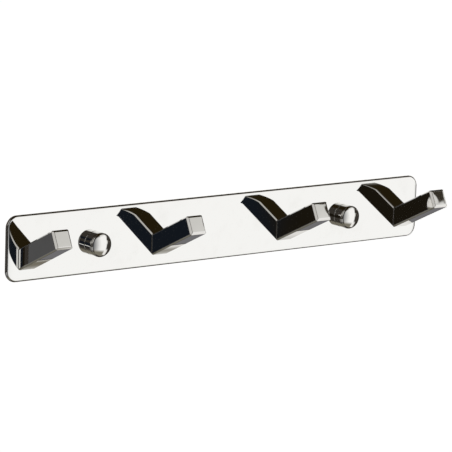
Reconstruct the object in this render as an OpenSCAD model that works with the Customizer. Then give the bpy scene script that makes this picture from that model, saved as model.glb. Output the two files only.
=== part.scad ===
// Wall hook rack: a polished back plate that carries four square-bar hooks, with
// two domed caps over the wall screws.
//
// The origin is the centre of the plate's back face, which lies on the wall.
// +X runs to the right as seen from the front, +Y points into the wall, +Z is up.

/* [Back plate] */
// Length of the plate along the wall
plate_w = 400; // [340:1:480]
// Height of the plate
plate_h = 50; // [42:1:64]
// Thickness of the plate
plate_t = 3; // [2.8:0.1:5]
// Radius of the plate's corners
corner_r = 9; // [2:0.5:18]
// Distance from each end of the plate to the middle of the nearest hook
end_margin = 17.5; // [12:0.5:30]

/* [Hooks] */
// Side of the square bar
bar_side = 15; // [14:0.5:20]
// Chamfer along the bar's four long edges
bar_edge = 1; // [0.5:0.1:2]
// Chamfer around the bar's end
end_edge = 1.6; // [0.5:0.1:3]
// Slope of the bar above the horizontal, in degrees
rise_angle = 26; // [10:1:34]
// Distance from the plate's front to the middle of the bar's end
reach = 46; // [30:1:70]
// Distance from the plate's centre line down to the middle of the hook's foot
hook_drop = 7.75; // [0:0.25:10]

/* [Hook fixings] */
// Thread diameter of the countersunk screw behind each hook
hook_screw_d = 4; // [3:0.5:5]
// Head diameter of that screw
hook_screw_head_d = 8; // [6:0.5:9]
// Length of thread inside the hook
hook_thread_l = 7; // [5:0.5:9]
// Width across the flats of the screw's hexagon socket
hook_socket_w = 2.5; // [1.5:0.5:3]
// Depth of that socket
hook_socket_h = 1.4; // [0.8:0.1:2]
// Diameter of the dowel that stops each hook from turning
dowel_d = 2.5; // [2:0.5:3]
// Length of the dowel inside the hook
dowel_l = 3; // [2:0.5:5]
// Metal left between the dowel and the top of the hook's foot
dowel_wall = 1.7; // [1:0.1:3]
// Metal left in the plate between the dowel and the screw's head
plate_web = 0.6; // [0.4:0.1:2]
// How far a screw's head and a dowel lie below the plate's back face
back_sink = 0.2; // [0.1:0.1:0.4]

/* [Caps] */
// Outer diameter of the cap
cap_d = 18.6; // [17:0.1:24]
// Wall of the cap
cap_wall = 1.2; // [0.8:0.1:2]
// Height of the cap's straight side
cap_side_h = 7.7; // [7:0.1:12]
// Radius of the shoulder between the side and the dome
cap_shoulder_r = 2.3; // [1.5:0.1:3]
// Radius of the sphere that the dome is part of
cap_dome_r = 20; // [14:0.5:60]
// Gap between the cap's rim and the plate
cap_rim_gap = 0.1; // [0.05:0.05:0.3]

/* [Collars and grip rings] */
// Height of the collar on the plate's front
collar_h = 5; // [4.5:0.1:6]
// Diameter of the collar's spigot, which sits in the plate's hole
spigot_d = 6.6; // [6.4:0.1:8]
// How far the spigot stops short of the wall
spigot_gap = 0.3; // [0.1:0.1:0.6]
// Thickness of the rubber grip ring
ring_d = 1.6; // [1:0.1:2]
// Height of the grip ring's centre above the plate's front
ring_h = 2.2; // [1.5:0.1:3]
// Gap between the grip ring and the cap
ring_gap = 0.08; // [0.05:0.01:0.1]

/* [Wall fixings] */
// Distance from the plate's centre line down to the wall screws
fixing_drop = 1.8; // [0:0.1:6]
// Shank diameter of the wall screw
wall_screw_d = 4.5; // [3.5:0.1:4.8]
// Head diameter of the wall screw
wall_screw_head_d = 8.4; // [7:0.1:10]
// Length of the wall screw
wall_screw_l = 40; // [30:1:60]
// Length of the wall screw's point
wall_point_l = 4; // [2:0.5:8]
// How far the wall screw's head lies below the collar's front
wall_head_sink = 0.2; // [0.1:0.1:0.5]
// Width of the cross recess in the wall screw's head
wall_recess_w = 4.6; // [3.5:0.1:5.5]
// Thickness of that recess's blades
wall_recess_t = 1.1; // [0.8:0.1:1.5]
// Depth of that recess
wall_recess_h = 1.6; // [1:0.1:2]
// Diameter of the wall plug
plug_d = 6; // [5.5:0.1:6.3]
// Length of the wall plug
plug_l = 30; // [20:1:50]
// How far the wall plug's mouth lies inside the wall
plug_sink = 0.5; // [0.2:0.1:2]

/* [Hidden] */

$fn = 96;

// Sides of a hexagon socket
hexagon = 6;
// Clearance around each screw, dowel and spigot
slip_gap = 0.05;
// Clearance between the collar and the cap
cap_gap = 0.1;
// Overshoot of cutting shapes past the face that they cut
over = 1;
// Overshoot of a thin cut, which stays in its own piece
hair = 0.01;

// Hooks: evenly spaced between the end margins
hook_gaps = 3;
hook_pitch = (plate_w - 2 * end_margin) / hook_gaps;
bar_l = reach / cos(rise_angle);
foot_h = bar_side / cos(rise_angle);
// Part of the bar behind its foot, which the plate's front face cuts off
bar_back = bar_side * tan(rise_angle);

// Hook screw and dowel, as heights above the middle of the hook's foot
dowel_y = foot_h / 2 - dowel_wall - dowel_d / 2;
hook_screw_y = dowel_y - dowel_d / 2 - plate_web - slip_gap - hook_screw_head_d / 2;
// Depth of an open hole beyond the end of its screw or dowel
hole_spare = 0.6;

// Cap, collar and grip ring
cap_r = cap_d / 2;
cap_bore_r = cap_r - cap_wall;
collar_r = cap_bore_r - cap_gap;
ring_r = cap_bore_r - ring_gap - ring_d / 2;
groove_r = ring_r - ring_d / 2;

// Wall screw, with its head just below the collar's front
wall_head_z = plate_t + collar_h - wall_head_sink;

chrome = [0.80, 0.81, 0.82];
steel = [0.62, 0.63, 0.65];
nylon = [0.86, 0.86, 0.83];
rubber = [0.10, 0.10, 0.10];
plug_grey = [0.55, 0.57, 0.58];

function hook_x(place) = (place - 2.5) * hook_pitch;
// Each wall screw is midway between two hooks: side is -1 on the left, 1 on the right
function fixing_x(side) = side * hook_pitch;

// Stands its children on the wall at (x, z): their own +Z points into the room
module on_wall(x, z) {
    translate([x, 0, z]) rotate([90, 0, 0]) children();
}

module at_hook(place) {
    on_wall(hook_x(place), -hook_drop) children();
}

module at_fixing(side) {
    on_wall(fixing_x(side), -fixing_drop) children();
}

module rounded_rectangle(w, h, r) {
    square([w - 2 * r, h], center = true);
    square([w, h - 2 * r], center = true);
    for (x = [-1, 1], y = [-1, 1])
        translate([x * (w / 2 - r), y * (h / 2 - r)]) circle(r = r);
}

// Square with chamfered corners
module chamfered_square(side, edge) {
    half = side / 2;
    inner = half - edge;
    polygon([[half, -inner], [half, inner], [inner, half], [-inner, half],
             [-half, inner], [-half, -inner], [-inner, -half], [inner, -half]]);
}

// Countersunk screw with its head's top at z = 0 and its shank along +Z
module countersunk_shape(d, head_d, shank_end, gap = 0) {
    cone_h = (head_d - d) / 2;
    cylinder(h = cone_h, r1 = head_d / 2 + gap, r2 = d / 2 + gap);
    cylinder(h = shank_end, r = d / 2 + gap);
}

module back_plate() {
    color(chrome)
    difference() {
        on_wall(0, 0)
            linear_extrude(plate_t) rounded_rectangle(plate_w, plate_h, corner_r);
        for (place = [1 : 4]) at_hook(place) {
            translate([0, hook_screw_y, back_sink])
                countersunk_shape(hook_screw_d, hook_screw_head_d, plate_t + over, slip_gap);
            translate([0, hook_screw_y, -over])
                cylinder(h = over + back_sink, r = hook_screw_head_d / 2 + slip_gap);
            translate([0, dowel_y, -over])
                cylinder(h = plate_t + 2 * over, r = dowel_d / 2 + slip_gap);
        }
        for (side = [-1, 1]) at_fixing(side)
            translate([0, 0, -over])
                cylinder(h = plate_t + 2 * over, r = spigot_d / 2 + slip_gap);
    }
}

// Outline of the bar along its length, with the end's two corners chamfered
module bar_outline() {
    half = bar_side / 2;
    polygon([[-half, -bar_back], [half, -bar_back], [half, bar_l - end_edge],
             [half - end_edge, bar_l], [end_edge - half, bar_l], [-half, bar_l - end_edge]]);
}

// Square bar along +Z, chamfered along its edges and around its end
module chamfered_bar() {
    intersection() {
        translate([0, 0, -bar_back])
            linear_extrude(bar_back + bar_l) chamfered_square(bar_side, bar_edge);
        rotate([90, 0, 0])
            linear_extrude(bar_side, center = true) bar_outline();
        rotate([90, 0, 90])
            linear_extrude(bar_side, center = true) bar_outline();
    }
}

module hook(place) {
    color(chrome)
    at_hook(place) translate([0, 0, plate_t]) difference() {
        rotate([-rise_angle, 0, 0]) chamfered_bar();
        // The foot is cut flat, to lie on the plate
        translate([-bar_side, -bar_side - bar_l, -2 * bar_back])
            cube([2 * bar_side, 2 * (bar_side + bar_l), 2 * bar_back]);
        translate([0, hook_screw_y, -over])
            cylinder(h = over + hook_thread_l + hole_spare, r = hook_screw_d / 2 + slip_gap);
        translate([0, dowel_y, -over])
            cylinder(h = over + dowel_l + hole_spare, r = dowel_d / 2 + slip_gap);
    }
}

module hook_screw(place) {
    color(steel)
    at_hook(place) translate([0, hook_screw_y, back_sink]) difference() {
        countersunk_shape(hook_screw_d, hook_screw_head_d, plate_t - back_sink + hook_thread_l);
        translate([0, 0, -over])
            cylinder(h = over + hook_socket_h, d = hook_socket_w / cos(180 / hexagon), $fn = hexagon);
    }
}

module dowel(place) {
    color(steel)
    at_hook(place) translate([0, dowel_y, back_sink])
        cylinder(h = plate_t - back_sink + dowel_l, d = dowel_d);
}

// Collar: a spigot in the plate's hole, and a grooved boss that the cap slides over
module collar(side) {
    color(nylon)
    at_fixing(side) difference() {
        union() {
            translate([0, 0, plate_t]) cylinder(h = collar_h, r = collar_r);
            translate([0, 0, spigot_gap])
                cylinder(h = plate_t - spigot_gap + hair, d = spigot_d);
        }
        translate([0, 0, plate_t + ring_h - ring_d / 2]) difference() {
            cylinder(h = ring_d, r = collar_r + over);
            translate([0, 0, -over]) cylinder(h = ring_d + 2 * over, r = groove_r);
        }
        translate([0, 0, wall_head_z]) mirror([0, 0, 1])
            countersunk_shape(wall_screw_d, wall_screw_head_d, wall_head_z + over, slip_gap);
        translate([0, 0, wall_head_z])
            cylinder(h = wall_head_sink + over, r = wall_screw_head_d / 2 + slip_gap);
    }
}

module grip_ring(side) {
    color(rubber)
    at_fixing(side) translate([0, 0, plate_t + ring_h])
        rotate_extrude() translate([ring_r, 0]) circle(d = ring_d);
}

// Half section of a domed cap: a straight side, a round shoulder, and a dome that leaves the
// shoulder smoothly
module cap_section(r, side_h, shoulder_r, dome_r) {
    inner = r - shoulder_r;
    centre_drop = sqrt((dome_r - shoulder_r) * (dome_r - shoulder_r) - inner * inner);
    // The dome and the shoulder meet on this slope
    meet = asin(inner / (dome_r - shoulder_r));
    square([r, side_h]);
    translate([inner, side_h]) circle(r = shoulder_r);
    intersection() {
        translate([0, side_h - centre_drop]) circle(r = dome_r);
        polygon([[0, side_h - hair], [inner, side_h - hair], [inner, side_h],
                 [inner + dome_r * sin(meet), side_h + dome_r * cos(meet)],
                 [0, side_h + dome_r * cos(meet)]]);
    }
}

module cap(side) {
    color(chrome)
    at_fixing(side) translate([0, 0, plate_t + cap_rim_gap]) difference() {
        rotate_extrude()
            cap_section(cap_r, cap_side_h - cap_rim_gap, cap_shoulder_r, cap_dome_r);
        translate([0, 0, -over])
            cylinder(h = over + cap_side_h - cap_rim_gap + cap_shoulder_r - cap_wall, r = cap_bore_r);
    }
}

module wall_screw(side) {
    shank_l = wall_screw_l - wall_point_l;
    color(steel)
    at_fixing(side) translate([0, 0, wall_head_z]) mirror([0, 0, 1]) difference() {
        union() {
            countersunk_shape(wall_screw_d, wall_screw_head_d, shank_l);
            translate([0, 0, shank_l])
                cylinder(h = wall_point_l, r1 = wall_screw_d / 2, r2 = 0);
        }
        for (turn = [0, 90]) rotate([0, 0, turn])
            translate([-wall_recess_w / 2, -wall_recess_t / 2, -over])
                cube([wall_recess_w, wall_recess_t, over + wall_recess_h]);
    }
}

module wall_plug(side) {
    color(plug_grey)
    at_fixing(side) translate([0, 0, -plug_sink - plug_l]) difference() {
        cylinder(h = plug_l, d = plug_d);
        translate([0, 0, -over]) cylinder(h = plug_l + 2 * over, r = wall_screw_d / 2 + slip_gap);
    }
}

back_plate();
hook(1);  // hook_1
hook(2);  // hook_2
hook(3);  // hook_3
hook(4);  // hook_4
hook_screw(1);  // hook_screw_1
hook_screw(2);  // hook_screw_2
hook_screw(3);  // hook_screw_3
hook_screw(4);  // hook_screw_4
dowel(1);  // dowel_1
dowel(2);  // dowel_2
dowel(3);  // dowel_3
dowel(4);  // dowel_4
collar(-1);  // collar_left
collar(1);  // collar_right
grip_ring(-1);  // grip_ring_left
grip_ring(1);  // grip_ring_right
cap(-1);  // cap_left
cap(1);  // cap_right
wall_screw(-1);  // wall_screw_left
wall_screw(1);  // wall_screw_right
wall_plug(-1);  // wall_plug_left
wall_plug(1);  // wall_plug_right
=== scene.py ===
# %% [markdown]
# # A polished wall hook rack
#
# A long back plate with rounded corners carries four square bars that slope up and out of
# it, and two domed caps hide the wall screws. The design itself comes from a CAD model,
# which is loaded as a fixed frame. Here each piece is rebuilt with the soft edges, thin
# chamfers, threads and ribs that the real one has, and is given its finish.
#
# Mirror-bright metal has no look of its own: it shows the room. So half of this lesson is
# about shapes, and the other half is about what the shapes reflect.

# %% Load the frame
import bmesh
import bpy
import math
from mathutils import Matrix, Vector


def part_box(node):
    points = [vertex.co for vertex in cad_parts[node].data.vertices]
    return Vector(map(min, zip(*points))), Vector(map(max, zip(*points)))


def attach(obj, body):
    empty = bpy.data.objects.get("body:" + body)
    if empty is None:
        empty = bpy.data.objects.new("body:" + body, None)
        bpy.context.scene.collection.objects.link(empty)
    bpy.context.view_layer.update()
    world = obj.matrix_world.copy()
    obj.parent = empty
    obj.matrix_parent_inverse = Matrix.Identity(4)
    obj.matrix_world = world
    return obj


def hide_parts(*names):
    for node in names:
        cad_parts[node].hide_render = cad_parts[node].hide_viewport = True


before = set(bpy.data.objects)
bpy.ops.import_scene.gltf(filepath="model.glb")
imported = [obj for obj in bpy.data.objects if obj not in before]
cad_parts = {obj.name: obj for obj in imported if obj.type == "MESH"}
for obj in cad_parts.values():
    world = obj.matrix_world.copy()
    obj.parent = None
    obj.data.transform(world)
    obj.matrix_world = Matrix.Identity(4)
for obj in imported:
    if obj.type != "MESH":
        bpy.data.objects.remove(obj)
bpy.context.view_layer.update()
MM = 0.001

# %% [markdown]
# ## Places and sizes
#
# The frame has its origin in the middle of the plate's back, which lies on the wall. +X runs
# right, +Y goes into the wall and +Z is up. A CAD node's box says where a piece is and how
# big it is. What a box can't say, such as a chamfer or a corner's radius, is named here.

# %% Sizes that the boxes can't give
RISE = math.radians(26)
CORNER_R = 9 * MM
BAR_EDGE = 1 * MM
END_EDGE = 1.6 * MM
CAP_SIDE_H = 7.7 * MM
CAP_SHOULDER_R = 2.3 * MM
CAP_DOME_R = 20 * MM
CAP_WALL = 1.2 * MM
EDGE_R = 1.7 * MM
SIDES = ("left", "right")
PLACES = (1, 2, 3, 4)
OUT = Vector((0, -1, 0))

plate_low, plate_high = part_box("back_plate")
plate_size = plate_high - plate_low
PLATE_T = plate_size.y


def middle(node):
    low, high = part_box(node)
    return (low + high) / 2


print("plate", [round(side / MM, 1) for side in plate_size], "mm")

# %% [markdown]
# ## Helpers for making pieces
#
# Every piece is made the same way: a bmesh is shaped with operators, turned into an object
# at the origin and tied to the body that it moves with, and the CAD node it stands for is hidden.
# Weighted normals keep large flat faces truly flat where they meet a rounded edge. Without
# them a mirror-bright face shows a bent room.

# %% A finished piece from a bmesh
def finish_piece(shape, name, node, body, material, sharp=40, soften=0):
    bmesh.ops.remove_doubles(shape, verts=shape.verts, dist=0.0005 * MM)
    mesh = bpy.data.meshes.new(name)
    for face in shape.faces:
        face.smooth = True
    shape.to_mesh(mesh)
    shape.free()
    mesh.set_sharp_from_angle(angle=math.radians(sharp))
    piece = bpy.data.objects.new(name, mesh)
    bpy.context.scene.collection.objects.link(piece)
    mesh.materials.append(material)
    if soften:
        bevel = piece.modifiers.new("soft_edges", "BEVEL")
        bevel.width = soften
        bevel.segments = 3
        bevel.limit_method = "ANGLE"
        bevel.angle_limit = math.radians(20)
        bevel.use_clamp_overlap = True
    weighted = piece.modifiers.new("flat_faces_stay_flat", "WEIGHTED_NORMAL")
    weighted.weight = 100
    weighted.keep_sharp = True
    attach(piece, body)
    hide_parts(node)
    return piece


# %% Round pieces are spun from half a section
def spin_section(points, centre, steps=96, closed=True):
    """Turns (radius, height) points about the axis that leaves the wall at centre."""
    shape = bmesh.new()
    verts = [shape.verts.new((radius, -height, 0)) for radius, height in points]
    pairs = list(zip(verts, verts[1:]))
    if closed:
        pairs.append((verts[-1], verts[0]))
    for first, second in pairs:
        shape.edges.new((first, second))
    bmesh.ops.spin(shape, geom=shape.verts[:] + shape.edges[:], cent=(0, 0, 0), axis=(0, 1, 0),
                   angle=math.tau, steps=steps, use_merge=True)
    bmesh.ops.remove_doubles(shape, verts=shape.verts, dist=0.001 * MM)
    bmesh.ops.recalc_face_normals(shape, faces=shape.faces)
    bmesh.ops.translate(shape, verts=shape.verts, vec=(centre.x, 0, centre.z))
    return shape


def arc(centre, radius, start, end, steps):
    """Points on an arc of a section, from one angle to another, in degrees."""
    angles = [math.radians(start + (end - start) * step / steps) for step in range(steps + 1)]
    return [(centre[0] + radius * math.cos(angle), centre[1] + radius * math.sin(angle))
            for angle in angles]


# %% Holes and slots are cut with a cutter
def cut_away(shape, cutter):
    """Cuts the cutter's shape out of the first shape, and returns the result."""
    meshes = []
    for source in (shape, cutter):
        mesh = bpy.data.meshes.new("cutting")
        source.to_mesh(mesh)
        source.free()
        meshes.append(mesh)
    work, tool = (bpy.data.objects.new("cutting", mesh) for mesh in meshes)
    for thing in (work, tool):
        bpy.context.scene.collection.objects.link(thing)
    boolean = work.modifiers.new("cut", "BOOLEAN")
    boolean.operation = "DIFFERENCE"
    boolean.solver = "EXACT"
    boolean.object = tool
    bpy.context.view_layer.update()
    result = bmesh.new()
    result.from_object(work, bpy.context.evaluated_depsgraph_get())
    for thing in (work, tool):
        bpy.data.objects.remove(thing)
    for mesh in meshes:
        bpy.data.meshes.remove(mesh)
    return result


def add_shape(shape, other):
    """Adds another bmesh's pieces to a shape."""
    mesh = bpy.data.meshes.new("adding")
    other.to_mesh(mesh)
    other.free()
    shape.from_mesh(mesh)
    bpy.data.meshes.remove(mesh)
    return shape


def block(size, centre):
    shape = bmesh.new()
    bmesh.ops.create_cube(shape, size=1)
    bmesh.ops.scale(shape, verts=shape.verts, vec=size)
    bmesh.ops.translate(shape, verts=shape.verts, vec=centre)
    return shape


# %% [markdown]
# ## Shader maths written as Python
#
# A procedural material is a formula over the surface, so it reads best as one. A Wire holds
# one number that varies over the surface, and the usual signs on it add Math nodes. Colours
# don't go through Math nodes, which would turn them grey: they are mixed by a Mix node.

# %% The wire and its tree
class Wire:
    def __init__(self, tree, socket):
        self.tree = tree
        self.socket = socket

    def math(self, operation, *others, flipped=False):
        values = [self, *others]
        if flipped:
            values.reverse()
        made = self.tree.node("ShaderNodeMath", {"operation": operation}, dict(enumerate(values)))
        return made[0]

    def __add__(self, other):
        return self.math("ADD", other)

    def __radd__(self, other):
        return self.math("ADD", other)

    def __sub__(self, other):
        return self.math("SUBTRACT", other)

    def __rsub__(self, other):
        return self.math("SUBTRACT", other, flipped=True)

    def __mul__(self, other):
        return self.math("MULTIPLY", other)

    def __rmul__(self, other):
        return self.math("MULTIPLY", other)

    def __neg__(self):
        return self.math("MULTIPLY", -1.0)


class Tree:
    def __init__(self, owner):
        owner.use_nodes = True
        self.nodes = owner.node_tree.nodes
        self.links = owner.node_tree.links
        self.nodes.clear()

    def node(self, kind, settings=None, inputs=None):
        """Adds a node, sets it up, then fills its sockets with values or wires."""
        made = self.nodes.new(kind)
        for name, value in (settings or {}).items():
            if name == "stops":
                self.set_stops(made.color_ramp, value)
            else:
                setattr(made, name, value)
        for name, value in (inputs or {}).items():
            if isinstance(value, Wire):
                self.links.new(value.socket, made.inputs[name])
            else:
                made.inputs[name].default_value = value
        return [Wire(self, socket) for socket in made.outputs if socket.enabled]

    def set_stops(self, ramp, stops):
        while len(ramp.elements) < len(stops):
            ramp.elements.new(1.0)
        for element, (position, colour) in zip(ramp.elements, stops):
            element.position = position
            element.color = (*colour, 1.0)

    def mix(self, factor, first, second):
        """Mixes two colours."""
        colours = [value if isinstance(value, Wire) else (*value, 1.0) for value in (first, second)]
        return self.node("ShaderNodeMix", {"data_type": "RGBA"},
                         {0: factor, 6: colours[0], 7: colours[1]})[0]

    def step(self, value, low, high):
        """0 below low, 1 above high, and a smooth rise between."""
        return self.node("ShaderNodeMapRange", {"interpolation_type": "SMOOTHSTEP"},
                         {0: value, 1: low, 2: high, 3: 0.0, 4: 1.0})[0]

    def noise(self, place, scale, detail=2.0, roughness=0.5):
        return self.node("ShaderNodeTexNoise", {},
                         {"Vector": place, "Scale": scale, "Detail": detail, "Roughness": roughness})[0]

    def stretched(self, scale):
        """The place on the object, in metres, squeezed or stretched along each axis."""
        place = self.node("ShaderNodeTexCoord")[3]
        return self.node("ShaderNodeMapping", {}, {"Vector": place, "Scale": scale})[0]


# %% [markdown]
# ## Finishes
#
# The plate, bars and caps are chrome plated over a mirror polish. Up close such a surface is
# never perfect. The polishing wheel leaves hairlines that all run one way, the metal under
# the plating waves by a few thousandths of a millimetre, and handling leaves a faint haze.
# All three are far too weak to see as marks. They show as reflections that are not quite
# ruler-straight and highlights that are not quite hard. The plate's sides and back are only
# ground, since nobody polishes what faces the wall, and the thin plating there is dull. Their
# colour is also painted a dark brown: painted shade, standing in for the dark reflections
# that the plate's edges show.

# %% Chrome
# Painted shade: the plate's sides and back take this dark brown, darker than bare ground metal, in place of
# the dark reflections on its edges.
SHADED_GROUND_METAL = (0.30, 0.265, 0.23)


def chrome(name, tint, haze_tint, hairline_scale, wave=0.004, haze_roughness=0.05, rough_and_shaded_back=0):
    material = bpy.data.materials.new(name)
    tree = Tree(material)
    place = tree.stretched((1.0, 1.0, 1.0))
    waves = tree.noise(place, 28.0, detail=1.0)
    hairlines = tree.noise(tree.stretched(hairline_scale), 1.0, detail=3.0, roughness=0.6)
    haze = tree.step(tree.noise(place, 45.0, detail=4.0, roughness=0.65), 0.50, 0.78)
    height = waves * 1.0 + hairlines * 0.03
    bump = tree.node("ShaderNodeBump", {}, {"Strength": 1.0, "Distance": wave * MM, "Height": height})[0]
    colour = tree.mix(haze * 0.5, tint, haze_tint)
    roughness = 0.018 + haze * haze_roughness * 0.5 + hairlines * 0.012
    if rough_and_shaded_back:
        # The back and the sides up to the roll-off are rougher (a real satin finish) and painted a dark
        # shade.
        depth = tree.node("ShaderNodeSeparateXYZ", {}, {0: place})[1]
        ground_and_shade = tree.step(depth, -rough_and_shaded_back - 0.15 * MM, -rough_and_shaded_back + 0.15 * MM)
        colour = tree.mix(ground_and_shade, colour, SHADED_GROUND_METAL)
        roughness = roughness + ground_and_shade * 0.22
    shader = tree.node("ShaderNodeBsdfPrincipled", {}, {
        "Base Color": colour,
        "Metallic": 1.0,
        "Roughness": roughness,
        "Normal": bump,
    })[0]
    tree.node("ShaderNodeOutputMaterial", {}, {"Surface": shader})
    return material


plate_chrome = chrome("plate_chrome", (0.86, 0.855, 0.84), (0.80, 0.79, 0.77),
                      (25.0, 25.0, 1800.0), wave=0.0025, rough_and_shaded_back=PLATE_T - EDGE_R)
hook_chrome = chrome("hook_chrome", (0.84, 0.83, 0.815), (0.77, 0.76, 0.74), (1500.0, 40.0, 40.0))
cap_chrome = chrome("cap_chrome", (0.85, 0.84, 0.82), (0.78, 0.765, 0.74), (900.0, 40.0, 900.0))
print("chrome for the plate, the bars and the caps")

# %% [markdown]
# The screws are zinc plated. Zinc is soft and greyish, with a faint bluish and straw-coloured
# mottle where the plating bath passivated it, and it is never mirror bright. The dowels are
# ground steel, whose marks run round them.

# %% Zinc and ground steel
def plated_zinc(name):
    material = bpy.data.materials.new(name)
    tree = Tree(material)
    mottle = tree.step(tree.noise(tree.stretched((1.0, 1.0, 1.0)), 420.0, detail=3.0), 0.35, 0.7)
    grains = tree.noise(tree.stretched((1.0, 1.0, 1.0)), 2600.0, detail=2.0)
    bump = tree.node("ShaderNodeBump", {}, {"Strength": 0.6, "Distance": 0.01 * MM, "Height": grains})[0]
    shader = tree.node("ShaderNodeBsdfPrincipled", {}, {
        "Base Color": tree.mix(mottle, (0.56, 0.60, 0.66), (0.70, 0.67, 0.58)),
        "Metallic": 1.0,
        "Roughness": 0.24 + mottle * 0.16,
        "Normal": bump,
    })[0]
    tree.node("ShaderNodeOutputMaterial", {}, {"Surface": shader})
    return material


def ground_steel(name):
    material = bpy.data.materials.new(name)
    tree = Tree(material)
    marks = tree.noise(tree.stretched((60.0, 9000.0, 60.0)), 1.0, detail=2.0)
    bump = tree.node("ShaderNodeBump", {}, {"Strength": 0.5, "Distance": 0.004 * MM, "Height": marks})[0]
    shader = tree.node("ShaderNodeBsdfPrincipled", {}, {
        "Base Color": tree.mix(marks, (0.50, 0.50, 0.51), (0.63, 0.63, 0.63)),
        "Metallic": 1.0,
        "Roughness": 0.22 + marks * 0.12,
        "Normal": bump,
    })[0]
    tree.node("ShaderNodeOutputMaterial", {}, {"Surface": shader})
    return material


zinc = plated_zinc("zinc_steel")
steel = ground_steel("bright_steel")

# %% [markdown]
# The collars and wall plugs are moulded nylon, and the grip rings are rubber. Moulded plastic
# carries the fine spark-eroded texture of its mould and flows in slightly uneven shades.
# Rubber is nearly black and dull, with a bloom of grey dust where it has been stored.

# %% Nylon and rubber
def moulded(name, colour, shade, roughness, grain):
    material = bpy.data.materials.new(name)
    tree = Tree(material)
    place = tree.stretched((1.0, 1.0, 1.0))
    flow = tree.noise(place, 180.0, detail=3.0)
    texture = tree.noise(place, 3200.0, detail=2.0)
    bump = tree.node("ShaderNodeBump", {}, {"Strength": 0.7, "Distance": grain * MM, "Height": texture})[0]
    shader = tree.node("ShaderNodeBsdfPrincipled", {}, {
        "Base Color": tree.mix(tree.step(flow, 0.3, 0.7), colour, shade),
        "Roughness": roughness + texture * 0.15,
        "Normal": bump,
    })[0]
    tree.node("ShaderNodeOutputMaterial", {}, {"Surface": shader})
    return material


nylon = moulded("collar_nylon", (0.80, 0.78, 0.72), (0.74, 0.72, 0.65), 0.42, 0.02)
plug_nylon = moulded("plug_nylon", (0.36, 0.38, 0.40), (0.31, 0.33, 0.35), 0.45, 0.03)
rubber = moulded("ring_rubber", (0.018, 0.018, 0.018), (0.035, 0.035, 0.034), 0.62, 0.02)
print("zinc, steel, nylon, plug nylon and rubber")

# %% [markdown]
# ## The back plate
#
# The plate is flat bar with rounded corners. After blanking it is polished hard, and the
# wheel pulls its front edge down: the last few millimetres bend away on a large radius, and
# the edge itself ends in a tight round. That roll-off is what makes a reflection curl and
# stop just short of the edge, so it is modelled and not left to bump.
#
# The outline is one quad whose corner vertices are bevelled round. It is extruded to the
# height where the rounding starts, and then inset ring by ring. Each ring's width and rise
# follow arcs that meet at the same slope: a tight one at the edge, and then a long shallow
# one that fades into the flat front.

# %% The roll-off's rings
BENDS = (
    # radius, slope where it starts and where it ends, rings
    (EDGE_R, 90, 6, 9),
    (67 * MM, 6, 0, 10),
)


def roll_off_rings():
    """(inset, rise) of each ring, from the plate's side to its flat front."""
    rings = []
    for radius, start, end, steps in BENDS:
        slopes = [math.radians(start + (end - start) * step / steps) for step in range(steps + 1)]
        for steep, shallow in zip(slopes, slopes[1:]):
            rings.append((radius * (math.sin(steep) - math.sin(shallow)),
                          radius * (math.cos(shallow) - math.cos(steep))))
    return rings


rings = roll_off_rings()
roll_width = sum(inset for inset, rise in rings)
roll_height = sum(rise for inset, rise in rings)
print("the front rolls off over", round(roll_width / MM, 2), "mm, by", round(roll_height / MM, 2), "mm")


# %% Outline, thickness and roll-off
def plate_shape():
    shape = bmesh.new()
    bmesh.ops.create_grid(shape, x_segments=1, y_segments=1, size=0.5)
    bmesh.ops.scale(shape, verts=shape.verts, vec=(plate_size.x, plate_size.z, 1))
    bmesh.ops.bevel(shape, geom=shape.verts[:], offset=CORNER_R, segments=20, profile=0.5,
                    affect="VERTICES", material=-1)
    bmesh.ops.rotate(shape, verts=shape.verts, matrix=Matrix.Rotation(math.radians(90), 3, "X"))
    front = shape.faces[:]
    back = bmesh.ops.duplicate(shape, geom=front)["geom"]
    bmesh.ops.reverse_faces(shape, faces=[part for part in back if isinstance(part, bmesh.types.BMFace)])
    grown = bmesh.ops.extrude_face_region(shape, geom=front)["geom"]
    bmesh.ops.delete(shape, geom=front, context="FACES_ONLY")
    top = [part for part in grown if isinstance(part, bmesh.types.BMFace)]
    verts = [part for part in grown if isinstance(part, bmesh.types.BMVert)]
    bmesh.ops.translate(shape, verts=verts, vec=OUT * (PLATE_T - roll_height))
    bmesh.ops.remove_doubles(shape, verts=shape.verts, dist=0.001 * MM)
    for inset, rise in rings:
        bmesh.ops.inset_region(shape, faces=top, thickness=inset, depth=rise, use_even_offset=True)
    back_edges = [edge for edge in shape.edges
                  if all(abs(vert.co.y) < 0.001 * MM for vert in edge.verts)]
    bmesh.ops.bevel(shape, geom=back_edges, offset=0.3 * MM, segments=2, profile=0.5,
                    affect="EDGES", material=-1)
    bmesh.ops.recalc_face_normals(shape, faces=shape.faces)
    return shape


# %% Countersinks, dowel holes and wall screw holes
def hole_cutter(node_name, margin, countersunk=False):
    """A round cutter a little larger than a node, right through the plate at its place."""
    low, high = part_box(node_name)
    centre = (low + high) / 2
    radius = (high.x - low.x) / 2 + margin
    if not countersunk:
        return spin_section([(0, -1 * MM), (radius, -1 * MM), (radius, 4 * MM), (0, 4 * MM)],
                            centre, steps=48, closed=False)
    shank, sink = 2 * MM + margin, 0.2 * MM
    cone_end = sink + radius - shank
    return spin_section([(0, -1 * MM), (radius, -1 * MM), (radius, sink), (shank, cone_end),
                         (shank, 4 * MM), (0, 4 * MM)], centre, steps=48, closed=False)


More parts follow.
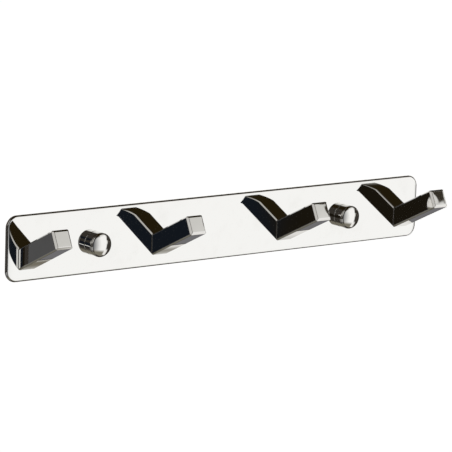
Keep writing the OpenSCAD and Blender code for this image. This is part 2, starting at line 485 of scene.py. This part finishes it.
SLIP = 0.05 * MM
COLLAR_SPIGOT_R = 3.3 * MM
plate = plate_shape()
for place in PLACES:
    plate = cut_away(plate, hole_cutter(f"hook_screw_{place}", SLIP, countersunk=True))
    plate = cut_away(plate, hole_cutter(f"dowel_{place}", SLIP))
for side in SIDES:
    spigot = middle(f"collar_{side}")
    plate = cut_away(plate, spin_section([(0, -1 * MM), (COLLAR_SPIGOT_R + SLIP, -1 * MM),
                                          (COLLAR_SPIGOT_R + SLIP, 4 * MM), (0, 4 * MM)],
                                         spigot, steps=48, closed=False))
polished_plate = finish_piece(plate, "polished_plate", "back_plate", "rack", plate_chrome)
print("plate:", len(polished_plate.data.polygons), "faces")

# %% [markdown]
# ## The hooks
#
# Each hook is a length of square bar, cut square at its free end and at the rise angle at its
# foot. Its long edges and its end are chamfered, the end more deeply, and the foot has a
# much finer chamfer, so that it sits tight on the plate. A milling cutter makes each chamfer
# by slicing along a plane, so the bar starts as a block and is sliced by planes here too. A
# bevel modifier then breaks every edge by less than half a millimetre. Polishing leaves the
# end very slightly pillowed, which is why its reflection fades from top to bottom: a
# subdivided end, lifted by a fraction of a millimetre in the middle, does the same.

# %% One bar
FOOT_EDGE = 0.4 * MM
PILLOW = 0.06 * MM
END_CUTS = 9
SOFT = 0.4 * MM


def slice_off(shape, point, away):
    """Cuts off what lies past a plane, and closes the cut."""
    cut = bmesh.ops.bisect_plane(shape, geom=shape.verts[:] + shape.edges[:] + shape.faces[:],
                                 plane_co=point, plane_no=away, clear_outer=True)
    rim = [part for part in cut["geom_cut"] if isinstance(part, bmesh.types.BMEdge)]
    bmesh.ops.edgeloop_fill(shape, edges=rim)
    return rim


def bar_shape(node_name):
    low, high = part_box(node_name)
    side = high.x - low.x
    half = side / 2
    length = (-low.y - PLATE_T - (half - END_EDGE) * math.sin(RISE)) / math.cos(RISE)
    behind = side * math.tan(RISE)
    shape = block((side, side, length + behind), (0, 0, (length - behind) / 2))
    for x, y in ((1, 1), (1, -1), (-1, 1), (-1, -1)):
        slice_off(shape, (x * (half - BAR_EDGE), y * half, 0), (x, y, 0))
    for x, y in ((1, 0), (-1, 0), (0, 1), (0, -1)):
        slice_off(shape, (x * half, y * half, length - END_EDGE), (x, y, 1))
    pillow_end(shape, half - END_EDGE, length)
    bmesh.ops.rotate(shape, verts=shape.verts, matrix=Matrix.Rotation(math.radians(90) - RISE, 3, "X"))
    foot_z = low.z + half / math.cos(RISE)
    bmesh.ops.translate(shape, verts=shape.verts, vec=((low.x + high.x) / 2, -PLATE_T, foot_z))
    foot = slice_off(shape, (0, -PLATE_T, 0), -OUT)
    bmesh.ops.bevel(shape, geom=foot, offset=FOOT_EDGE, segments=1, profile=0.5,
                    affect="EDGES", material=-1)
    bmesh.ops.recalc_face_normals(shape, faces=shape.faces)
    return shape


def pillow_end(shape, half, length):
    end = [face for face in shape.faces if face.normal.z > 0.9]
    bmesh.ops.subdivide_edges(shape, edges=end[0].edges[:], cuts=END_CUTS, use_grid_fill=True)
    for vert in shape.verts:
        if abs(vert.co.z - length) < 0.001 * MM:
            across = 1 - (vert.co.x / half) ** 2
            along = 1 - (vert.co.y / half) ** 2
            vert.co.z += PILLOW * (max(across, 0) * max(along, 0) - 1)


for place in PLACES:
    bar = finish_piece(bar_shape(f"hook_{place}"), f"hook_bar_{place}", f"hook_{place}", "rack",
                       hook_chrome, sharp=60, soften=SOFT)
print("each bar:", len(bar.data.polygons), "faces before its edges are broken")

# %% [markdown]
# ## The caps
#
# A cap is turned from a small cup: a straight side, a tight shoulder and a dome that is part
# of a sphere. A hair-fine parting line runs round it near the top of the side. The section
# is drawn once, from the rim up the outside and back down the bore, and spun about the
# cap's axis. The shoulder and the dome meet where both have the same slope, because a break
# there would show as a ring in the reflection.

# %% The cap's section
LINE_H = 7.2 * MM
LINE_W = 0.3 * MM
LINE_D = 0.15 * MM
RIM_R = 0.35 * MM


def cap_section(radius, rim_h):
    side_end = PLATE_T + CAP_SIDE_H
    line = PLATE_T + LINE_H
    inner = radius - CAP_SHOULDER_R
    meet = math.degrees(math.asin(inner / (CAP_DOME_R - CAP_SHOULDER_R)))
    drop = (CAP_DOME_R - CAP_SHOULDER_R) * math.cos(math.radians(meet))
    bore = radius - CAP_WALL
    ceiling = side_end + CAP_SHOULDER_R - CAP_WALL
    points = arc((radius - RIM_R, rim_h + RIM_R), RIM_R, -90, 0, 5)
    points += [(radius, line - LINE_W), (radius - LINE_D, line - LINE_W / 2), (radius, line)]
    points += arc((inner, side_end), CAP_SHOULDER_R, 0, 90 - meet, 10)
    points += arc((0, side_end - drop), CAP_DOME_R, 90 - meet, 90, 20)[1:]
    points += [(0, ceiling)]
    points += arc((bore - 1.2 * MM, ceiling - 1.2 * MM), 1.2 * MM, 90, 0, 6)
    points += [(bore, rim_h + 0.4 * MM), (bore + 0.3 * MM, rim_h)]
    return points


for side in SIDES:
    low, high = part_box(f"cap_{side}")
    section = cap_section((high.x - low.x) / 2, -high.y)
    finish_piece(spin_section(section, middle(f"cap_{side}")), f"domed_cap_{side}", f"cap_{side}",
                 f"cap_{side}", cap_chrome, sharp=25)
print("caps:", len(section), "points in the section")

# %% [markdown]
# ## Collars and grip rings
#
# Behind each cap a nylon collar locates in the plate's hole, and the wall screw clamps it
# there. A rubber ring sits in the collar's groove and grips the cap's bore, so the cap
# pushes on and pulls off without tools. The collar has the lead-in chamfer that guides the
# cap, a countersunk seat for the screw's head and a tight groove.

# %% Collar
RING_D = 1.6 * MM
RING_H = 2.2 * MM
HEAD_R = 4.2 * MM
SHANK_R = 2.25 * MM
HEAD_SINK = 0.2 * MM


def collar_section(radius, low_h, high_h, groove_r):
    front = PLATE_T
    groove = front + RING_H
    cone_end = high_h - HEAD_SINK - (HEAD_R - SHANK_R)
    spigot = COLLAR_SPIGOT_R
    return [
        (SHANK_R + SLIP, low_h + 0.2 * MM), (SHANK_R + SLIP + 0.2 * MM, low_h),
        (spigot - 0.3 * MM, low_h), (spigot, low_h + 0.3 * MM), (spigot, front), (radius - 0.15 * MM, front),
        (radius, front + 0.15 * MM), (radius, groove - RING_D / 2), (groove_r, groove - RING_D / 2),
        (groove_r, groove + RING_D / 2), (radius, groove + RING_D / 2), (radius, high_h - 0.7 * MM),
        (radius - 0.5 * MM, high_h), (HEAD_R + SLIP + 0.15 * MM, high_h),
        (HEAD_R + SLIP, high_h - 0.15 * MM), (HEAD_R + SLIP, high_h - HEAD_SINK),
        (SHANK_R + SLIP, cone_end),
    ]


def collar_shape(node_name, ring_name):
    low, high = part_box(node_name)
    ring_low, ring_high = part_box(ring_name)
    groove_r = (ring_high.x - ring_low.x) / 2 - RING_D
    shape = spin_section(collar_section((high.x - low.x) / 2, -high.y, -low.y, groove_r),
                         middle(node_name))
    relief = bmesh.new()
    for turn in range(3):
        slot = block((1.1 * MM, 1.0 * MM, 1.1 * MM), (6.1 * MM, low.y, 0))
        bmesh.ops.rotate(slot, verts=slot.verts, matrix=Matrix.Rotation(turn * math.tau / 3, 3, "Y"))
        bmesh.ops.translate(slot, verts=slot.verts, vec=(middle(node_name).x, 0, middle(node_name).z))
        add_shape(relief, slot)
    return cut_away(shape, relief)


# %% Grip ring
def ring_shape(node_name):
    low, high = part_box(node_name)
    centre = (low + high) / 2
    ring_r = (high.x - low.x) / 2 - RING_D / 2
    points = arc((ring_r, -centre.y), RING_D / 2, 0, 345, 23)
    return spin_section(points, centre)


for side in SIDES:
    finish_piece(collar_shape(f"collar_{side}", f"grip_ring_{side}"), f"cap_collar_{side}",
                 f"collar_{side}", "rack", nylon, sharp=30)
    finish_piece(ring_shape(f"grip_ring_{side}"), f"rubber_ring_{side}",
                 f"grip_ring_{side}", "rack", rubber)
print("collars and grip rings")

# %% [markdown]
# ## Screws, dowels and plugs
#
# Each hook's screw is countersunk from behind, with a hexagon socket, and lies a little below
# the plate's back so that the plate sits flat on the wall. The wall screws have a cross
# recess and a coarse thread. The thread is a small triangle, spun many turns while it moves
# along the shank, which is how a lathe cuts one.

# %% Hook screws
SOCKET_W = 2.5 * MM
SOCKET_H = 1.4 * MM


def hook_screw_shape(node_name):
    low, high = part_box(node_name)
    centre = (low + high) / 2
    head_r = (high.x - low.x) / 2
    top, tip = -high.y, -low.y
    shank = 2 * MM
    cone_end = top + head_r - shank
    points = [(0, top), (head_r - 0.25 * MM, top), (head_r, top + 0.2 * MM), (shank, cone_end + 0.1 * MM)]
    pitch = 0.7 * MM
    turns = int((tip - cone_end - 1 * MM) / pitch)
    for turn in range(turns):
        start = cone_end + 0.6 * MM + turn * pitch
        points += [(shank - 0.35 * MM, start), (shank, start + pitch / 2)]
    points += [(shank - 0.5 * MM, tip - 0.1 * MM), (shank - 0.7 * MM, tip), (0, tip)]
    shape = spin_section(points, centre, steps=48, closed=False)
    socket = bmesh.new()
    bmesh.ops.create_cone(socket, cap_ends=True, segments=6, radius1=SOCKET_W / math.sqrt(3),
                          radius2=SOCKET_W / math.sqrt(3), depth=2 * SOCKET_H)
    bmesh.ops.rotate(socket, verts=socket.verts, matrix=Matrix.Rotation(math.radians(90), 3, "X"))
    bmesh.ops.translate(socket, verts=socket.verts, vec=(centre.x, high.y, centre.z))
    return cut_away(shape, socket)


def dowel_shape(node_name):
    low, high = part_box(node_name)
    radius = (high.x - low.x) / 2
    start, end, edge = -high.y, -low.y, 0.3 * MM
    return spin_section([(0, start), (radius - edge, start), (radius, start + edge),
                         (radius, end - edge), (radius - edge, end), (0, end)],
                        middle(node_name), steps=40, closed=False)


for place in PLACES:
    finish_piece(hook_screw_shape(f"hook_screw_{place}"), f"socket_screw_{place}",
                 f"hook_screw_{place}", "rack", zinc, sharp=35)
    finish_piece(dowel_shape(f"dowel_{place}"), f"steel_dowel_{place}", f"dowel_{place}",
                 "rack", steel, sharp=35)
print("hook screws and dowels")


# %% Wall screws
THREAD_PITCH = 1.8 * MM
CORE_R = 1.55 * MM
POINT_L = 4 * MM
THREAD_STEPS = 24


def screw_thread(start, end):
    """A ridge that winds from start to end; wall_screw_shape then tapers it towards the point."""
    shape = bmesh.new()
    outline = ((CORE_R - 0.1 * MM, 0), (SHANK_R, 0.45 * MM), (CORE_R - 0.1 * MM, 0.8 * MM))
    verts = [shape.verts.new((radius, start - rise, 0)) for radius, rise in outline]
    edges = [shape.edges.new(pair) for pair in zip(verts, verts[1:] + verts[:1])]
    shape.faces.new(verts)
    turns = (end - start) / THREAD_PITCH
    steps = int(turns * THREAD_STEPS)
    bmesh.ops.spin(shape, geom=verts + edges, cent=(0, 0, 0), axis=(0, 1, 0),
                   dvec=(0, THREAD_PITCH / THREAD_STEPS, 0), angle=math.tau * turns, steps=steps)
    ends = [edge for edge in shape.edges if edge.is_boundary]
    bmesh.ops.holes_fill(shape, edges=ends, sides=3)
    return shape


def wall_screw_shape(node_name):
    low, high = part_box(node_name)
    centre = (low + high) / 2
    top = -low.y
    tip = -high.y
    cone_end = top - (HEAD_R - SHANK_R)
    points = [(0, top), (HEAD_R - 0.3 * MM, top), (HEAD_R, top - 0.15 * MM), (SHANK_R, cone_end),
              (SHANK_R - 0.3 * MM, cone_end - 2 * MM), (CORE_R, cone_end - 3 * MM),
              (CORE_R, tip + POINT_L), (0.15 * MM, tip + 0.1 * MM), (0, tip)]
    shape = spin_section(points, centre, steps=64, closed=False)
    for turn in (0, 90):
        blade = block((4.6 * MM, 1.1 * MM, 3.2 * MM), (0, 0, 0))
        lower = [vert for vert in blade.verts if vert.co.z < 0]
        bmesh.ops.scale(blade, verts=lower, vec=(0.45, 0.8, 1))
        bmesh.ops.rotate(blade, verts=blade.verts, matrix=Matrix.Rotation(math.radians(turn), 3, "Z"))
        bmesh.ops.rotate(blade, verts=blade.verts, matrix=Matrix.Rotation(math.radians(90), 3, "X"))
        bmesh.ops.translate(blade, verts=blade.verts, vec=(centre.x, low.y, centre.z))
        shape = cut_away(shape, blade)
    thread = screw_thread(-(cone_end - 4 * MM), -tip - 0.9 * MM)
    for vert in thread.verts:
        past = vert.co.y - (-tip - POINT_L)
        if past > 0:
            shrink = max(1 - past / POINT_L, 0.05)
            vert.co.x *= shrink
            vert.co.z *= shrink
    bmesh.ops.translate(thread, verts=thread.verts, vec=(centre.x, 0, centre.z))
    return add_shape(shape, thread)


for side in SIDES:
    finish_piece(wall_screw_shape(f"wall_screw_{side}"), f"fixing_screw_{side}",
                 f"wall_screw_{side}", "rack", zinc, sharp=35)
print("wall screws")


# %% Wall plugs
def plug_section(radius, bore, start, end):
    """Ribs that let the plug slide in and not back out, from its mouth to its far end."""
    points = [(bore + 0.1 * MM, start), (radius, start), (radius, start + 6 * MM)]
    rib = 2.4 * MM
    ribs = int((end - start - 9 * MM) / rib)
    for number in range(ribs):
        place = start + 6 * MM + number * rib
        points += [(radius - 0.3 * MM, place + 0.2 * MM), (radius, place + rib)]
    points += [(radius - 0.5 * MM, end - 0.3 * MM), (radius - 0.6 * MM, end), (bore, end)]
    return points


def plug_shape(node_name):
    low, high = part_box(node_name)
    centre = (low + high) / 2
    radius = (high.x - low.x) / 2
    points = [(r, -h) for r, h in plug_section(radius, SHANK_R + SLIP, low.y, high.y)]
    shape = spin_section(points, centre, steps=48)
    length = high.y - low.y
    slit_l = length * 0.62
    slit = block((2.2 * radius, slit_l, 0.7 * MM), (centre.x, high.y - slit_l / 2 + 0.05 * MM, centre.z))
    return cut_away(shape, slit)


for side in SIDES:
    finish_piece(plug_shape(f"wall_plug_{side}"), f"plug_sleeve_{side}", f"wall_plug_{side}",
                 "rack", plug_nylon, sharp=30)
print("wall plugs")

# %% [markdown]
# ## What the chrome sees
#
# The room is painted on the world as large soft cards, each a span of azimuth and elevation
# seen from the rack. Azimuth 0 is straight out from the wall and grows to the right. A big
# white card stands front right and runs down on to the floor: the plate mirrors it, which is
# why the plate looks white. The camera's own side and the ceiling are dark, so the bars'
# side faces and the reflected top faces turn nearly black, and the outline of each bar
# reads clearly. A tall grey card on the far left draws the thin bright lines on the chamfers.

# %% Cards
ROOM = (0.045, 0.040, 0.034)
CARDS = (
    # name, colour, azimuth span, elevation span, softness at left, right, bottom and top
    ("floor behind", (0.17, 0.168, 0.175), (100, 300), (-90, -16), (6, 6, 6, 6)),
    ("card behind", (0.78, 0.765, 0.74), (118, 215), (-13, 31), (5, 10, 3, 6)),
    ("end card", (0.62, 0.61, 0.58), (82, 112), (-8, 16), (4, 5, 4, 4)),
    ("low side card", (0.42, 0.415, 0.40), (-80, -43), (-44, -16), (6, 3, 6, 2)),
    ("near floor", (0.22, 0.205, 0.165), (-22, 62), (-58, -26), (16, 14, 6, 6)),
    ("side wall", (0.92, 0.91, 0.89), (44, 68), (-44, -20), (5, 6, 4, 8)),
    ("upper front", (0.68, 0.675, 0.645), (20, 62), (-10, 43), (7, 6, 7, 6)),
    ("low grey card", (0.80, 0.80, 0.78), (-36.6, -33.3), (-19, -8.8), (0.5, 0.2, 3, 1)),
    ("camera side", (0.008, 0.011, 0.016), (-33.3, 14), (-24, 30), (0.2, 4, 3, 6)),
    ("white card", (1.055, 1.055, 1.045), (-26, 58), (-36, 31), (58, 8, 12, 12)),
    ("tall grey card", (0.60, 0.59, 0.565), (-80, -47), (12, 60), (5, 5, 5, 5)),
    ("lamp stand", (0.040, 0.034, 0.024), (47.6, 51.2), (26.6, 34), (0.4, 0.5, 0.6, 1)),
    ("behind left", (0.085, 0.085, 0.086), (-175, -105), (-26, 6), (6, 6, 6, 6)),
    ("dark floor", (0.030, 0.026, 0.020), (58, 170), (-80, -44), (10, 5, 5, 4)),
    ("olive floor", (0.16, 0.152, 0.12), (-180, 0), (-80, -48), (6, 6, 6, 6)),
    ("ceiling", (0.020, 0.014, 0.005), (-40, 170), (36, 90), (5, 5, 5, 5)),
)


def paint_room():
    world = bpy.data.worlds.new("studio")
    bpy.context.scene.world = world
    tree = Tree(world)
    direction = tree.node("ShaderNodeTexCoord")[0]
    x, y, z = tree.node("ShaderNodeSeparateXYZ", {}, {0: direction})
    to_degrees = math.degrees(1)
    azimuth = x.math("ARCTAN2", -y) * to_degrees
    elevation = z.math("ARCSINE") * to_degrees
    colour = ROOM
    for name, paint, across, upward, (at_left, at_right, at_bottom, at_top) in CARDS:
        turned = azimuth
        if across[1] > 180:
            turned = azimuth + 360 - tree.step(azimuth, across[0] - 181, across[0] - 180) * 360
        mask = (tree.step(turned, across[0], across[0] + at_left)
                * (1 - tree.step(turned, across[1] - at_right, across[1]))
                * tree.step(elevation, upward[0], upward[0] + at_bottom)
                * (1 - tree.step(elevation, upward[1] - at_top, upward[1])))
        colour = tree.mix(mask, colour, paint)
    seen = tree.node("ShaderNodeLightPath")[0]
    seen_colour = tree.mix(seen, colour, (1.0, 1.0, 1.0))
    background = tree.node("ShaderNodeBackground", {}, {"Color": seen_colour, "Strength": 1.0})[0]
    tree.node("ShaderNodeOutputWorld", {}, {"Surface": background})


paint_room()
print(len(CARDS), "cards round the rack")

# %% [markdown]
# ## Floor and camera
#
# The floor is a plain pale sheet well below the rack. It takes a soft glow of its own so
# that it stays even, and it is left out of the reflections, which the cards already paint.
# The camera stands to the left, a little above, and far away with a long lens. It is tipped
# by two degrees, which gives the rack its slant across the frame.

# %% Floor
def lay_floor():
    shape = bmesh.new()
    bmesh.ops.create_grid(shape, x_segments=1, y_segments=1, size=30)
    bmesh.ops.translate(shape, verts=shape.verts, vec=(0, 0, -0.45))
    mesh = bpy.data.meshes.new("floor")
    shape.to_mesh(mesh)
    shape.free()
    floor = bpy.data.objects.new("floor", mesh)
    bpy.context.scene.collection.objects.link(floor)
    material = bpy.data.materials.new("pale_floor")
    tree = Tree(material)
    shader = tree.node("ShaderNodeBsdfPrincipled", {}, {
        "Base Color": (0.92, 0.92, 0.92, 1.0), "Roughness": 0.9,
        "Emission Color": (1.0, 1.0, 1.0, 1.0), "Emission Strength": 0.9})[0]
    tree.node("ShaderNodeOutputMaterial", {}, {"Surface": shader})
    mesh.materials.append(material)
    floor.visible_glossy = False
    floor.visible_diffuse = False


lay_floor()

# %% Camera
CAMERA_AZIMUTH = math.radians(-38.04)
CAMERA_ELEVATION = math.radians(10.61)
CAMERA_DISTANCE = 2.213
CAMERA_ROLL = math.radians(1.91)
CAMERA_LENS = 227.4
CAMERA_SHIFT = 0.0114


def place_camera():
    camera = bpy.data.objects.new("camera", bpy.data.cameras.new("camera"))
    bpy.context.scene.collection.objects.link(camera)
    bpy.context.scene.camera = camera
    camera.data.lens = CAMERA_LENS
    camera.data.clip_end = 200
    back = Vector((math.sin(CAMERA_AZIMUTH) * math.cos(CAMERA_ELEVATION),
                   -math.cos(CAMERA_AZIMUTH) * math.cos(CAMERA_ELEVATION),
                   math.sin(CAMERA_ELEVATION)))
    facing = back.to_track_quat("Z", "Y").to_matrix() @ Matrix.Rotation(CAMERA_ROLL, 3, "Z")
    camera.matrix_world = Matrix.Translation(back * CAMERA_DISTANCE) @ facing.to_4x4()
    camera.data.shift_x = CAMERA_SHIFT
    return back * CAMERA_DISTANCE


camera_place = place_camera()

# %% [markdown]
# A dark flag hangs far behind the camera and below the rack's level. Each bar and the plate
# make a square inside corner, and such a corner sends light straight back where it came
# from. So the left faces of the three bars on the right show that one place and nothing
# else. The flag keeps them black, and its cooler right half gives their reflections in the
# plate a touch of blue. The first bar looks just past it, at the low grey card.

# %% The dark flag
FLAG_BEHIND = 4.0
FLAG_HALF_H = 1.35
FLAG_RAISE = 0.85
FLAG_MARGINS = (0.24, 0.29)


def hang_flag():
    depth = -camera_place.y * FLAG_BEHIND
    crossings = []
    for place in PLACES[1:]:
        bar_x = middle(f"hook_{place}").x
        crossings.append(bar_x + (camera_place.x - bar_x) * FLAG_BEHIND)
    left, right = min(crossings) - FLAG_MARGINS[0], max(crossings) + FLAG_MARGINS[1]
    level = -camera_place.z * FLAG_BEHIND
    shape = bmesh.new()
    bmesh.ops.create_grid(shape, x_segments=1, y_segments=1, size=1)
    bmesh.ops.scale(shape, verts=shape.verts, vec=((right - left) / 2, FLAG_HALF_H, 1))
    bmesh.ops.rotate(shape, verts=shape.verts, matrix=Matrix.Rotation(math.radians(90), 3, "X"))
    mesh = bpy.data.meshes.new("dark_flag")
    shape.to_mesh(mesh)
    shape.free()
    flag = bpy.data.objects.new("dark_flag", mesh)
    bpy.context.scene.collection.objects.link(flag)
    flag.location = ((left + right) / 2, -depth, level + FLAG_RAISE)
    material = bpy.data.materials.new("dark_flag")
    tree = Tree(material)
    across = tree.node("ShaderNodeSeparateXYZ", {}, {0: tree.node("ShaderNodeTexCoord")[3]})[0]
    cool = tree.step(across, -0.1 * (right - left), 0.1 * (right - left))
    glow = tree.node("ShaderNodeEmission", {}, {
        "Color": tree.mix(cool, (0.0125, 0.0100, 0.006), (0.0085, 0.0115, 0.017)), "Strength": 1.0})[0]
    tree.node("ShaderNodeOutputMaterial", {}, {"Surface": glow})
    mesh.materials.append(material)
    flag.visible_camera = False
    flag.visible_diffuse = False
    flag.visible_shadow = False


hang_flag()
bpy.context.scene.view_settings.view_transform = "Standard"

# %% The end
bpy.context.view_layer.update()
